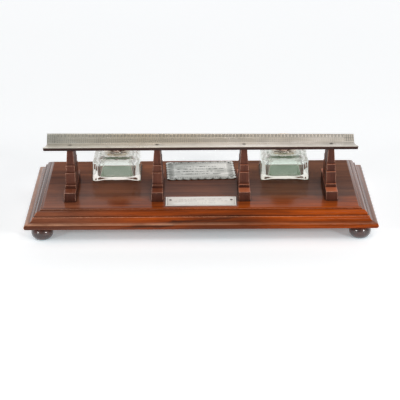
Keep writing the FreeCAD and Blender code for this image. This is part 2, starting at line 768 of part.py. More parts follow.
def make_plaque():
    """A scalloped plate, pinned flat and a little askew."""
    depth = sheet.plaque_lobe_depth
    half_x, half_y = sheet.plaque_length / 2 - depth, sheet.plaque_width / 2 - depth
    corners = [VECTOR(x * half_x, y * half_y) for x, y in ((-1, -1), (1, -1), (1, 1), (-1, 1))]
    edges = []
    for index, lobes in enumerate(PLAQUE_LOBES):
        edges += scalloped_edge(corners[index], corners[(index + 1) % 4], lobes, depth)
    blank = doc.addObject("Part::Feature", "plaque_blank")
    blank.Shape = Part.Face(Part.Wire(edges)).extrude(VECTOR(0, 0, sheet.plaque_thick))
    place(blank, 0, dim("plaque_centre_y"), BOARD_TOP, (0, 0, 1), dim("plaque_turn"))
    holes = [cylinder("plaque_hole_%d" % index, dim("pin_diameter"), dim("plaque_thick"), x, y, BOARD_TOP)
             for index, (x, y) in enumerate(plaque_pin_places())]
    finish("presentation_plaque", cut("presentation_plaque", blank, holes))
    make_pins("plaque_pins", plaque_pin_places(), dim("plaque_thick"))


# ---------------------------------------------------------------- build, check and write
def main():
    make_plinth()
    make_feet()
    make_piers()
    make_rail()
    for side in WELL_X:
        make_baize(side)
        make_bottle(side)
        make_collar(side)
        make_lid(side)
        make_hinge_pin(side)
    make_nameplate()
    make_plaque()
    doc.recompute()

    for thing in doc.Objects:
        if "Invalid" in thing.State or "Error" in thing.State:
            raise RuntimeError("%s failed: %s" % (thing.Name, thing.State))
    os.makedirs("parts", exist_ok=True)
    for thing in subparts:
        shape = thing.Shape
        if shape.isNull() or not shape.isValid() or not shape.Solids:
            raise RuntimeError("%s has no valid solid" % thing.Label)
        shape.exportStep("parts/%s.step" % thing.Label)
        print("%-22s solids %d  volume %10.1f" % (thing.Label, len(shape.Solids), shape.Volume))


main()
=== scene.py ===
import math

import bpy
from mathutils import Matrix, Vector, noise


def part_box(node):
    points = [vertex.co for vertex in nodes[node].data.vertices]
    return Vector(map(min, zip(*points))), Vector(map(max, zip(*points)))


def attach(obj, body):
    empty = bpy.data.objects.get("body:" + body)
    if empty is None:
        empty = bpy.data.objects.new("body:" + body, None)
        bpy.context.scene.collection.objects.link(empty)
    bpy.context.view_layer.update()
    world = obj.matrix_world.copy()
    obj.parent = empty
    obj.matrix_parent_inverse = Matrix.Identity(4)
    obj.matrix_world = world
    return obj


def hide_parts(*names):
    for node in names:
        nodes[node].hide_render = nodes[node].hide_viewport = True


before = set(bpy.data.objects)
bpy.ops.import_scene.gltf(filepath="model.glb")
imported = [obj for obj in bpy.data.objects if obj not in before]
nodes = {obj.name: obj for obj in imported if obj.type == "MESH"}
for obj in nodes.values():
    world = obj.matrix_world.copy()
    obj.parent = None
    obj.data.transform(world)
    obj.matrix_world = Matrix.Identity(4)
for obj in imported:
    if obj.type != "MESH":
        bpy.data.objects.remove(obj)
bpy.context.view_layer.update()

# ---------------------------------------------------------------- sizes, mostly in millimetres
MM = 0.001
SIDES = ("left", "right")
BOARD_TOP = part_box("upper_board")[1].z
WHITE = (1.0, 1.0, 1.0)

# Plinth: the moulding's width on the upper board, and the edge half way up the lower one.
MOULDING = 8.4
FLAT_HALF = tuple(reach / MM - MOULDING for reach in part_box("upper_board")[1].xy)
ARRIS = sum(corner.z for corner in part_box("lower_board")) / (2 * MM)

# Pen rest: a bent sheet. Run and rise of its back are given for the left end and the right end.
GIRDER_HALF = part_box("girder_plate")[1].x / MM
GIRDER_THICK, GIRDER_LEDGE, GIRDER_BEND_RADIUS = 0.8, 12.6, 0.7
GIRDER_RUN, GIRDER_RISE = (7.6, 10.2), (8.6, 5.4)
GIRDER_COLUMNS = 1080
LEDGE_ROWS, BEND_ROWS, BACK_ROWS = 7, 4, 42
SPLAY, SPLAY_DEPTH = 3.1, 6.0
GROUND, BARE_FOOT = 0.20, 0.7
NOTCH_PITCH, NOTCH_BAND, NOTCH_DEPTH = 1.8, 1.1, 0.16
STIFFENER_PITCH, STIFFENER_BAND, STIFFENER_HEIGHT = 3.6, 4.5, 0.20
RIVET_PITCH, GRID_RIVET, FIELD_RIVET = 2.2, 0.20, 0.14
GRID_WIDTH, GRID_FOOT, GRID_HEIGHT = 4.4 * RIVET_PITCH, 1.0, 4.0 * RIVET_PITCH
FIELD_FOOT, FIELD_BAND = 0.6, 5.0
LACING_HEIGHT = 0.14

# Plaque and nameplate, with the half lengths of their engraved lines.
PLAQUE_TURN = math.radians(2.7)
PLAQUE_LOBES, LOBE_DEPTH = (9, 7), 1.5
PLAQUE_STEPS = (230, 176)
BORDER, BORDER_GROUND, FIELD_GROUND = 8.0, 0.62, 0.55
PLAQUE_LINES, PLAQUE_LINE_PITCH, PLAQUE_FIRST_LINE = (17.0, 25.0, 25.0, 21.0), 7.6, 11.5
NAME_STEPS = (260, 90)
NAME_EDGE, NAME_BORDER, NAME_CUT = 0.35, 2.0, 0.10
NAME_LINES, NAME_LINE_PITCH = (22.0, 27.0, 16.0), 5.6

# Baize: steps across the cloth, how far it frays and how much its edge thins.
BAIZE_STEPS = 120
FRAY, FRAY_SWING, FRAYS_ACROSS = 0.18, 0.16, 40
BAIZE_SINK, BAIZE_THINNING = 0.06, 0.32

# Bottle: levels are above its base.
BODY_HEIGHT, SHOULDER, WALL_LEAN = 24.4, 4.8, 0.55
BASE_ROUND, OUTER_CORNER, CORNER_GROWTH = 0.5, 5.0, 0.6
DOME_FOOT = 16.0
NECK_RADIUS, NECK_FOOT = 11.45, 27.1
MOUTH_RADIUS, LIP = 8.0, 0.6
CAVITY_HALF, CAVITY_CORNER = 20.5, 8.0
CAVITY_FLOOR, FLOOR_ROUND, FLOOR_DOME = 3.7, 1.0, 0.25
ROOF, ROOF_ROUND, ROOF_DOME = 21.4, 6.4, 0.8
CORNER_STEPS = 12
NEARLY_ROUND = 0.05

# Finish on the CAD nodes, in metres and degrees.
WELD = 2e-6
SMOOTH_TO, BEVEL_FROM = 32, 35

# Camera: metres from the middle of the plinth's top, and degrees.
EYE = (-0.00275, -1.540, 0.565)
LENS, SENSOR = 140.5, 36.0
YAW, DOWN, ROLL = -0.07, 20.76, -0.33


# ---------------------------------------------------------------- node helpers
class Graph:
    """Short calls for building a node tree; sockets and plain values can be mixed freely."""

    def __init__(self, tree):
        self.nodes = tree.nodes
        self.links = tree.links

    def feed(self, socket, value):
        if isinstance(value, bpy.types.NodeSocket):
            self.links.new(value, socket)
            return
        if socket.type == "RGBA" and len(value) == 3:
            value = (*value, 1.0)
        socket.default_value = value

    def add(self, kind, inputs=None, **properties):
        node = self.nodes.new("ShaderNode" + kind)
        for name, value in properties.items():
            setattr(node, name, value)
        for key, value in (inputs or {}).items():
            self.feed(node.inputs[key], value)
        return node

    def math(self, operation, a, b=0.0, clamp=False):
        return self.add("Math", {0: a, 1: b}, operation=operation, use_clamp=clamp).outputs[0]

    def times(self, a, b):
        return self.math("MULTIPLY", a, b)

    def gap(self, a, b):
        """Distance between two values."""
        return self.math("ABSOLUTE", self.math("SUBTRACT", a, b))

    def blend(self, a, b, c):
        """a times b plus c."""
        return self.add("Math", {0: a, 1: b, 2: c}, operation="MULTIPLY_ADD").outputs[0]

    def swing(self, pattern, amount, level):
        """A level moved up and down by a noise pattern, which has its mean at one half."""
        return self.blend(self.math("SUBTRACT", pattern, 0.5), amount, level)

    def remap(self, value, low, high, to_low=0.0, to_high=1.0, smooth=True):
        kind = "SMOOTHSTEP" if smooth else "LINEAR"
        inputs = {0: value, 1: low, 2: high, 3: to_low, 4: to_high}
        return self.add("MapRange", inputs, interpolation_type=kind).outputs[0]

    def mix(self, factor, a, b, blend="MIX"):
        inputs = {0: factor, 6: a, 7: b}
        return self.add("Mix", inputs, data_type="RGBA", blend_type=blend).outputs[2]

    def tinted(self, colour, tint):
        return self.mix(1.0, colour, tint, "MULTIPLY")

    def ramp(self, factor, stops):
        node = self.add("ValToRGB", {0: factor})
        elements = node.color_ramp.elements
        while len(elements) < len(stops):
            elements.new(1.0)
        for element, (place, colour) in zip(elements, stops):
            element.position = place
            element.color = (*colour, 1.0)
        return node.outputs[0]


class Finish(Graph):
    """One Principled material. Patterns are laid out in the object's own coordinates, in millimetres."""

    def __init__(self, name, **settings):
        self.material = bpy.data.materials.new(name)
        self.material.use_nodes = True
        super().__init__(self.material.node_tree)
        self.shader = self.nodes["Principled BSDF"]
        self.output = self.nodes["Material Output"]
        own = self.add("TexCoord").outputs["Object"]
        self.place = self.add("VectorMath", {0: own, "Scale": 1 / MM}, operation="SCALE").outputs[0]
        self.grain = self.place
        self.set(**settings)

    def set(self, **settings):
        for name, value in settings.items():
            self.feed(self.shader.inputs[name.replace("_", " ")], value)

    def at(self, scale, shift=(0, 0, 0), turn=(0, 0, 0)):
        """Coordinates stretched by scale (per mm), turned by degrees and shifted."""
        angles = tuple(math.radians(angle) for angle in turn)
        inputs = {"Vector": self.grain, "Location": shift, "Rotation": angles, "Scale": scale}
        return self.add("Mapping", inputs).outputs[0]

    def noise(self, vector, detail=3.0, roughness=0.55, distortion=0.0):
        inputs = {"Vector": vector, "Scale": 1.0, "Detail": detail, "Roughness": roughness,
                  "Distortion": distortion}
        return self.add("TexNoise", inputs).outputs[0]

    def warp(self, vector, by, amount):
        """Push coordinates along by a noise colour, so that straight grain wanders."""
        wander = self.add("TexNoise", {"Vector": by, "Scale": 1.0, "Detail": 2.0}).outputs[1]
        push = self.add("VectorMath", {0: wander, "Scale": amount}, operation="SCALE").outputs[0]
        return self.add("VectorMath", {0: vector, 1: push}, operation="ADD").outputs[0]

    def bump(self, height, depth_mm):
        return self.add("Bump", {"Height": height, "Distance": depth_mm * MM}).outputs[0]

    def edges(self, radius_mm):
        """1 along sharp edges, 0 on open faces."""
        rounded = self.add("Bevel", {"Radius": radius_mm * MM}, samples=6).outputs[0]
        flat = self.add("NewGeometry").outputs["Normal"]
        facing = self.add("VectorMath", {0: rounded, 1: flat}, operation="DOT_PRODUCT").outputs["Value"]
        return self.remap(facing, 0.995, 0.86)

    def exposure(self, reach_mm):
        """1 on open faces and corners, falling toward 0 in grooves and where parts meet."""
        return self.add("AmbientOcclusion", {"Distance": reach_mm * MM}, samples=6).outputs["AO"]

    def axes(self):
        """X, Y and Z of the place on the object, in millimetres."""
        return self.add("SeparateXYZ", {0: self.place}).outputs

    def beyond(self, half):
        """How far outside a rectangle of half lengths the place is, along X and along Y."""
        place = self.axes()
        return [self.math("SUBTRACT", self.math("ABSOLUTE", place[name]), limit)
                for name, limit in zip("XY", half)]

    def on_ends(self, half):
        """1 on the end mouldings round a rectangle, 0 on its flat and its long mouldings."""
        over_x, over_y = self.beyond(half)
        return self.math("GREATER_THAN", over_x, self.math("MAXIMUM", over_y, 0.0))

    def mitre(self, half):
        """Turn the grain on the end mouldings, which meet the long ones in a mitre."""
        x, y, z = self.axes()
        turned = self.add("CombineXYZ", {0: y, 1: x, 2: z}).outputs[0]
        inputs = {0: self.on_ends(half), 4: self.place, 5: turned}
        self.grain = self.add("Mix", inputs, data_type="VECTOR").outputs[1]

    def upward(self):
        """How far a face looks up: 1 for a level top, 0 for a wall."""
        normal = self.add("NewGeometry").outputs["Normal"]
        return self.add("SeparateXYZ", {0: normal}).outputs["Z"]

    def attribute(self, name):
        return self.add("Attribute", attribute_name=name).outputs["Fac"]


# ---------------------------------------------------------------- wood
PORE = (0.012, 0.005, 0.004)
OLD_WAX_AND_SHADE = (0.018, 0.006, 0.004)
FLAT_STOPS = [(0.32, (0.088, 0.026, 0.013)), (0.46, (0.170, 0.052, 0.023)), (0.58, (0.245, 0.077, 0.032)),
              (0.72, (0.325, 0.113, 0.048))]
LIT_MOULDING_STOPS = [(0.32, (0.048, 0.010, 0.003)), (0.43, (0.185, 0.032, 0.004)), (0.54, (0.36, 0.064, 0.006)),
                  (0.72, (0.50, 0.112, 0.011))]
SHADED_STOPS = [(0.34, (0.036, 0.011, 0.007)), (0.46, (0.12, 0.036, 0.018)), (0.58, (0.20, 0.064, 0.031)),
                (0.74, (0.29, 0.105, 0.055))]
PIER_STOPS = [(0.30, (0.030, 0.010, 0.008)), (0.45, (0.095, 0.030, 0.018)), (0.58, (0.165, 0.053, 0.030)),
              (0.76, (0.26, 0.090, 0.052))]
RAIL_STOPS = [(0.3, (0.008, 0.004, 0.004)), (0.5, (0.028, 0.014, 0.012)), (0.7, (0.07, 0.034, 0.028))]
EBONY_STOPS = [(0.3, (0.010, 0.004, 0.004)), (0.55, (0.030, 0.010, 0.008)), (0.75, (0.075, 0.024, 0.015))]
HEARTWOOD = (0.045, 0.014, 0.007)
LESS_RED_RIGHT = (0.84, 0.97, 1.05)
SUNLIT = (1.06, 1.0, 0.66)
FRONT_PAINTED_LIGHT = (1.65, 1.72, 1.75)
ARRIS_HIGHLIGHT = (0.70, 0.36, 0.22)
LIT_TREAD, SHADED_RISER = (0.66, 0.19, 0.085), (0.030, 0.012, 0.009)
PLAIN_COAT, PIER_COAT = 0.22, 0.3


def along(axis, length, across):
    """Per-millimetre stretch for a pattern that is long in the direction of the grain."""
    return tuple(length if name == axis else across for name in "xyz")


def rosewood(name, axis, stops, seed, edge_wear_and_highlight, edge_wear_and_highlight_colour=(0.36, 0.15, 0.09), gloss=0.10, dirt_and_shade=0.85,
             shaded=None, mitred=None):
    """Old polished rosewood: wandering dark figure, fine streaks, short open pores, worn edges that are also
    painted highlights, and grooves darkened by old wax and painted shade.

    shaded(made, colour, drift) gives a colour with painted light and shade, and a coat, that change over the
    piece. mitred gives the half lengths of a flat, outside which the grain turns with the end mouldings.
    """
    made = Finish(name)
    if mitred:
        made.mitre(mitred)
    shift = (seed * 17.3, seed * 5.1, seed * 9.7)
    lines = made.at(along(axis, 0.0035, 0.085), shift)
    lines = made.warp(lines, made.at(along(axis, 0.006, 0.02), shift), 1.7)
    figure = made.noise(lines, detail=6.0, roughness=0.62, distortion=0.3)
    fine = made.noise(made.at(along(axis, 0.014, 0.95), shift), detail=4.0, roughness=0.7)
    broad = made.noise(made.at(along(axis, 0.005, 0.018), shift), detail=2.0)
    drift = made.swing(broad, 0.4, made.swing(fine, 0.26, made.swing(figure, 0.6, 0.5)))
    colour = made.ramp(drift, stops)
    coat = PLAIN_COAT
    if shaded:
        colour, coat = shaded(made, colour, drift)

    pores = made.noise(made.at(along(axis, 0.11, 3.2), shift), detail=2.0, roughness=0.5)
    pores = made.remap(pores, 0.60, 0.70)
    colour = made.mix(made.times(pores, 0.45), colour, PORE)
    open_air = made.exposure(3.0)
    # Painted shade together with old wax: darker where the occlusion mask finds grooves, corners and meeting
    # parts.
    colour = made.mix(made.remap(open_air, 0.92, 0.55, 0.0, dirt_and_shade), colour, OLD_WAX_AND_SHADE)
    rub = made.noise(made.at((0.25, 0.25, 0.25), shift), detail=3.0)
    # Edges lightened both as rubbed wear and as painted highlights along the arrises.
    edge = made.times(made.edges(1.1), made.remap(rub, 0.35, 0.65, 0.5 * edge_wear_and_highlight, edge_wear_and_highlight))
    edge = made.times(edge, made.remap(open_air, 0.75, 0.95))
    colour = made.mix(edge, colour, edge_wear_and_highlight_colour)

    haze = made.noise(made.at((0.035, 0.05, 0.05), shift), detail=4.0, roughness=0.6)
    scuffs = made.noise(made.at((0.5, 0.9, 0.6), shift, (0, 0, 24)), detail=5.0, roughness=0.75)
    polish = made.math("ADD", made.remap(haze, 0.35, 0.75, gloss, gloss + 0.09),
                       made.remap(scuffs, 0.55, 0.8, 0.0, 0.08))
    made.set(Base_Color=colour, Roughness=made.remap(fine, 0.3, 0.7, 0.4, 0.55), Specular_IOR_Level=0.0,
             Coat_Weight=coat, Coat_Roughness=polish,
             Normal=made.bump(made.math("SUBTRACT", fine, made.times(pores, 0.8)), 0.03),
             Coat_Normal=made.bump(haze, 0.10))
    return made.material


def heart_figure(made, wander):
    """Dark heartwood: a patch on the front below the flat, and a streak that rises along the mouldings."""
    x, _, z = made.axes()
    patch = made.times(made.remap(made.gap(x, 22.0), 15.0, 62.0, 0.60, 0.0), made.remap(z, 30.0, 26.5))
    rising = made.blend(x, -0.075, made.math("SUBTRACT", z, 22.5))
    rising = made.math("ABSOLUTE", made.blend(wander, 7.0, rising))
    fading = made.remap(made.gap(x, -15.0), 45.0, 80.0, 0.8, 0.0)
    streak = made.times(made.remap(rising, 0.5, 1.9, 1.0, 0.0), fading)
    return made.math("MAXIMUM", patch, streak)


def arris_highlight_and_darkening(made, warm, wander):
    """Darker below the lower board's middle edge, and a painted highlight line on it, both fading to the
    right.
    """
    x, _, z = made.axes()
    strength = made.remap(x, -60.0, 70.0, 1.0, 0.25)
    darker_below = made.times(made.remap(z, ARRIS + 0.3, ARRIS - 0.6), strength)
    warm = made.mix(made.times(darker_below, 0.30), warm, HEARTWOOD)
    # Painted highlight: a pale line along the edge, standing in for the polish reflecting light.
    line = made.times(made.remap(made.gap(z, ARRIS), 0.2, 0.9, 0.62, 0.0), strength)
    return made.mix(made.times(line, made.remap(wander, -0.2, 0.1, 0.5, 1.0)), warm, ARRIS_HIGHLIGHT)


def mouldings_with_painted_light(made, colour, drift):
    """Mouldings more orange than the flat, in a lit copy warmer toward the right as painted light; the flat
    is painted brighter near the front, and the ends and the left corner take a duller shaded copy as painted
    shade.
    """
    x, y, _ = made.axes()
    rim = made.remap(made.math("MAXIMUM", *made.beyond(FLAT_HALF)), -0.4, 1.2)
    ends = made.on_ends(FLAT_HALF)
    # Painted light and shade: the long mouldings take the lit copy, the ends and the far left the shaded one.
    bright = made.times(made.remap(x, -140.0, -40.0), made.math("SUBTRACT", 1.0, ends))
    sunlit = made.mix(made.remap(x, 60.0, 150.0), WHITE, SUNLIT)
    lit_moulding = made.tinted(made.ramp(drift, LIT_MOULDING_STOPS), sunlit)
    warm = made.mix(bright, made.ramp(drift, SHADED_STOPS), lit_moulding)
    # The flat turns less red and a little bluer toward the right.
    colour = made.mix(made.remap(x, -20.0, 90.0), colour, made.tinted(colour, LESS_RED_RIGHT))
    # Painted light: the flat is painted brighter and more orange toward the front.
    colour = made.mix(made.remap(y, -30.0, -66.0, 0.0, 0.75), colour, made.tinted(warm, FRONT_PAINTED_LIGHT))
    wander = made.math("SUBTRACT", made.noise(made.at((0.03, 0.03, 0.12))), 0.5)
    warm = made.mix(heart_figure(made, wander), warm, HEARTWOOD)
    warm = arris_highlight_and_darkening(made, warm, wander)

    flat_coat = made.times(made.math("SUBTRACT", 1.0, rim), made.remap(y, 25.0, -60.0, 0.13, 0.32))
    rim_coat = made.times(rim, made.remap(x, -40.0, 80.0, 0.34, 0.22))
    end_coat = made.times(ends, made.remap(x, -150.0, 150.0, 0.42, 0.62))
    coat = made.math("ADD", flat_coat, made.math("ADD", rim_coat, end_coat))
    return made.mix(rim, colour, warm), coat


def lit_treads_shaded_risers(made, colour, _):
    """Painted light and shade on the pier steps: level faces painted paler, more so on the right-hand piers,
    and upright faces painted darker, more so lower down.
    """
    x, _, z = made.axes()
    level = made.remap(made.upward(), 0.7, 0.95)
    upright = made.math("SUBTRACT", 1.0, level)
    colour = made.mix(made.times(upright, made.remap(z, 50.0, 42.0, 0.32, 0.62)), colour, SHADED_RISER)
    colour = made.mix(made.times(level, made.remap(x, -60.0, 40.0, 0.15, 0.85)), colour, LIT_TREAD)
    return colour, PIER_COAT


def ebonised(name, seed):
    """Turned, blackened wood under a thick gloss polish, with faint turning lines and rubbed spots."""
    made = Finish(name)
    shift = (seed * 3.1, seed * 7.7, seed)
    grain = made.noise(made.at((0.05, 0.9, 0.9), shift), detail=4.0, roughness=0.65)
    rings = made.noise(made.at((0.02, 0.02, 2.6), shift), detail=3.0)
    rub = made.remap(made.noise(made.at((0.16, 0.16, 0.2), shift), detail=3.0), 0.45, 0.7)
    colour = made.mix(made.times(rub, 0.4), made.ramp(grain, EBONY_STOPS), (0.13, 0.038, 0.022))
    made.set(Base_Color=colour, Roughness=0.4, Coat_Weight=1.0,
             Coat_Roughness=made.remap(rub, 0.0, 1.0, 0.04, 0.10),
             Normal=made.bump(rings, 0.05), Coat_Normal=made.bump(rings, 0.02))
    return made.material


# ---------------------------------------------------------------- metal, glass and cloth
BACK_REFLECTION = [(0.0, (0.82, 0.84, 0.79)), (0.32, (0.92, 0.82, 0.66)), (0.62, (1.0, 0.92, 0.82)),
              (0.85, (1.1, 1.02, 0.93)), (1.0, (1.1, 1.04, 0.96))]
LEDGE_REFLECTION = [(0.0, (0.96, 0.93, 0.88)), (0.4, (1.07, 1.05, 1.03)), (0.66, (1.02, 0.99, 0.97)),
               (0.88, (0.70, 0.67, 0.64)), (1.0, (0.60, 0.58, 0.55))]
TINT_TOP = 30.0
GLASS_STOPS = [(0.0, (0.84, 0.78, 0.71)), (0.14, (0.86, 0.81, 0.75)), (0.22, (0.93, 0.95, 0.92)),
               (0.60, (0.92, 0.94, 0.91)), (0.70, (0.70, 0.69, 0.66)), (0.80, (0.70, 0.68, 0.64)),
               (0.92, (0.86, 0.83, 0.78))]
BAIZE_STOPS = [(0.3, (0.020, 0.085, 0.040)), (0.52, (0.052, 0.18, 0.088)), (0.75, (0.12, 0.29, 0.165))]


def pen_rest_reflection(made):
    """Painted reflection: what the long sheet mirrors from left to right, on its leaning back and on its
    level ledge.
    """
    along_x = made.remap(made.axes()["X"], -GIRDER_HALF, GIRDER_HALF, smooth=False)
    level = made.remap(made.upward(), 0.93, 0.99)
    return made.mix(level, made.ramp(along_x, BACK_REFLECTION), made.ramp(along_x, LEDGE_REFLECTION))


def plaque_shading(made):
    """Painted light and shade: cooler and darker at the left end, paler at the right."""
    return made.mix(made.remap(made.axes()["X"], -36.0, 36.0), (0.86, 0.87, 0.86), (1.12, 1.09, 1.06))


def worn_silver(name, bright, dull, dark, seed, roughness, brush=(0.02, 1.6, 1.6), tint=None):
    """Silver or plate: clouded patches, fine wiping marks, rubbed edges, dark tarnish in the hollows, and
    painted shade where a piece darkens its undersides and edge walls.
    """
    made = Finish(name, Metallic=1.0)
    shift = (seed * 11.0, seed * 4.3, seed * 2.9)
    clouds = made.noise(made.at((0.03, 0.08, 0.08), shift), detail=5.0, roughness=0.62, distortion=0.8)
    wiping = made.noise(made.at(brush, shift), detail=4.0, roughness=0.7)
    specks = made.noise(made.at((0.9, 0.9, 0.9), shift), detail=3.0, roughness=0.7)
    colour = made.mix(made.remap(clouds, 0.36, 0.66), bright, dull)
    if tint:
        colour = made.tinted(colour, tint(made))
    colour = made.mix(made.times(made.remap(wiping, 0.5, 0.8), 0.35), colour, dark)
    colour = made.mix(made.times(made.remap(specks, 0.62, 0.74), 0.5), colour, dark)
    colour = made.mix(made.times(made.edges(0.35), 0.5), colour, bright)
    rough = made.remap(clouds, 0.3, 0.7, *roughness)
    rough = made.math("ADD", rough, made.remap(specks, 0.5, 0.8, 0.0, 0.12))
    soil_and_shade = made.math("MULTIPLY", made.attribute("grime_and_shade"), made.remap(specks, 0.2, 0.55, 0.7, 1.0), clamp=True)
    colour = made.mix(soil_and_shade, colour, tuple(value * 0.45 for value in dark))
    rough = made.math("ADD", rough, made.times(soil_and_shade, 0.25))
    made.set(Base_Color=colour, Roughness=rough, Normal=made.bump(wiping, 0.006))
    return made.material


def turned_metal(name, bright, dark, seed, roughness=0.2):
    """Small spun or drawn fittings: tool lines, dull patches and bright rubbed edges."""
    made = Finish(name, Metallic=1.0)
    shift = (seed * 5.0, seed * 3.0, seed * 8.0)
    lines = made.noise(made.at((0.25, 0.25, 6.0), shift), detail=3.0)
    patches = made.noise(made.at((0.22, 0.22, 0.3), shift), detail=4.0, roughness=0.65)
    colour = made.mix(made.remap(patches, 0.42, 0.72), bright, dark)
    colour = made.mix(made.times(made.edges(0.25), 0.6), colour, bright)
    made.set(Base_Color=colour, Roughness=made.remap(patches, 0.3, 0.7, roughness, roughness + 0.2),
             Normal=made.bump(lines, 0.012))
    return made.material


def inner_corner(made):
    """1 in the upright inner corners of either bottle's cavity."""
    low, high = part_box("right_bottle")
    centre = (low + high) / (2 * MM)
    x, y, _ = made.axes()
    shares = []
    for off in (made.gap(made.math("ABSOLUTE", x), centre.x), made.gap(y, centre.y)):
        shares.append(made.times(made.remap(off, CAVITY_HALF - 5.5, CAVITY_HALF - 2.0),
                                 made.remap(off, CAVITY_HALF + 0.2, CAVITY_HALF + 1.0, 1.0, 0.0)))
    return made.times(*shares)


def glass_tint(made, level, corner):
    """Creamy at the base, clear in the middle, greyer toward the neck, with dark contour lines near the top.

    These stand in for what the thick old glass bends into view. The right-hand bottle is a little greener.
    """
    right_hand = made.remap(made.axes()["X"], -10.0, 10.0)
    tint = made.ramp(made.times(level, 1 / TINT_TOP), GLASS_STOPS)
    tint = made.tinted(tint, made.mix(right_hand, WHITE, (0.93, 0.965, 0.94)))
    lines = made.noise(made.at((0.10, 0.10, 0.8), (4, 7, 2)), detail=3.0, distortion=0.6)
    lines = made.times(made.remap(lines, 0.50, 0.62, 0.0, 0.75), made.remap(level, 19.5, 22.0))
    # Painted highlight: the cavity's inner corners take a pale colour.
    return made.mix(corner, made.mix(lines, tint, (0.50, 0.44, 0.38)), (0.98, 0.96, 0.92))


def old_glass(name):
    """Pressed glass, a little wavy, that lets light through to the baize; its inner corners are painted pale
    and less clear as a painted highlight.

    A ray that has bounced about inside for long ends in a painted pale glow, standing in for the light it
    would gather in a bright room.
    """
    made = Finish(name, IOR=1.5)
    corner = inner_corner(made)
    level = made.math("SUBTRACT", made.axes()["Z"], BOARD_TOP / MM)
    waves = made.noise(made.at((0.09, 0.09, 0.12)), detail=2.0)
    ripples = made.noise(made.at((0.16, 0.16, 0.5), (9, 2, 5)), detail=1.0)
    waves = made.blend(ripples, made.remap(level, 18.5, 23.0, 0.0, 6.0), waves)
    smears = made.noise(made.at((0.3, 0.3, 0.1), (3, 8, 1)), detail=4.0, roughness=0.7)
    made.set(Base_Color=glass_tint(made, level, corner), Roughness=made.remap(smears, 0.5, 0.85, 0.0, 0.07),
             # Painted highlight: less light passes through the inner corners, so their pale colour shows.
             Transmission_Weight=made.remap(corner, 0.0, 1.0, 1.0, 0.40), Normal=made.bump(waves, 0.10))
    path = made.add("LightPath").outputs
    painted_glow = made.add("Emission", {"Color": (0.62, 0.62, 0.59), "Strength": 1.0}).outputs[0]
    deep = made.math("GREATER_THAN", path["Ray Depth"], 4.0)
    body = made.add("MixShader", {0: deep, 1: made.shader.outputs[0], 2: painted_glow}).outputs[0]
    through = made.add("BsdfTransparent", {"Color": (0.86, 0.90, 0.88)}).outputs[0]
    both = made.add("MixShader", {0: path["Is Shadow Ray"], 1: body, 2: through}).outputs[0]
    made.links.new(both, made.output.inputs["Surface"])
    return made.material


def baize(name):
    """Green wool baize: matted fibres, a soft nap and slightly faded high spots."""
    made = Finish(name, Roughness=0.95, Sheen_Weight=0.6, Sheen_Roughness=0.45, Sheen_Tint=(0.6, 0.85, 0.7))
    fibres = made.at((2.4, 1.1, 2.4), turn=(0, 0, 31))
    fibres = made.noise(fibres, detail=5.0, roughness=0.75, distortion=1.4)
    mats = made.remap(made.noise(made.at((0.25, 0.25, 0.25))), 0.4, 0.7, 0.0, 0.35)
    colour = made.mix(mats, made.ramp(fibres, BAIZE_STOPS), (0.14, 0.28, 0.175))
    made.set(Base_Color=colour, Normal=made.bump(fibres, 0.12))
    return made.material


plinth_wood = rosewood("plinth_rosewood", "x", FLAT_STOPS, seed=3, edge_wear_and_highlight=0.95, edge_wear_and_highlight_colour=(0.78, 0.38, 0.23),
                       dirt_and_shade=0.6, shaded=mouldings_with_painted_light, mitred=FLAT_HALF)
pier_wood = rosewood("pier_rosewood", "z", PIER_STOPS, seed=7, edge_wear_and_highlight=0.9, edge_wear_and_highlight_colour=(0.62, 0.34, 0.24),
                     gloss=0.25, dirt_and_shade=0.4, shaded=lit_treads_shaded_risers)
rail_wood = rosewood("rail_rosewood", "x", RAIL_STOPS, seed=11, edge_wear_and_highlight=0.4)
foot_wood = ebonised("ebonised_feet", seed=2)
girder_silver = worn_silver("girder_silver_plate", (0.97, 0.94, 0.90), (0.84, 0.80, 0.74), (0.30, 0.28, 0.24),
                            seed=4, roughness=(0.22, 0.36), tint=pen_rest_reflection)
plaque_silver = worn_silver("plaque_silver", (0.65, 0.645, 0.61), (0.39, 0.395, 0.365), (0.13, 0.135, 0.12),
                            seed=9, roughness=(0.20, 0.36), brush=(1.2, 0.3, 1.0), tint=plaque_shading)
name_silver = worn_silver("nameplate_silver", (1.0, 0.96, 0.89), (1.0, 0.93, 0.85), (0.50, 0.45, 0.40),
                          seed=5, roughness=(0.30, 0.45), brush=(0.05, 1.2, 1.2))
pin_silver = turned_metal("plaque_pin_silver", (0.72, 0.72, 0.70), (0.30, 0.29, 0.27), seed=1)
dark_pin = turned_metal("dark_pins", (0.28, 0.24, 0.21), (0.07, 0.06, 0.055), seed=2, roughness=0.32)
screw_plate = turned_metal("plated_screws", (0.97, 0.94, 0.90), (0.80, 0.76, 0.70), seed=3, roughness=0.24)
screw_steel = turned_metal("steel_screws", (0.42, 0.41, 0.40), (0.13, 0.12, 0.115), seed=4, roughness=0.38)
mount_plate = turned_metal("mount_plate", (0.95, 0.87, 0.77), (0.66, 0.52, 0.38), seed=5, roughness=0.12)
pin_brass = turned_metal("hinge_brass", (0.80, 0.58, 0.28), (0.34, 0.22, 0.10), seed=6)
glass = old_glass("pressed_glass")
green_baize = baize("green_baize")


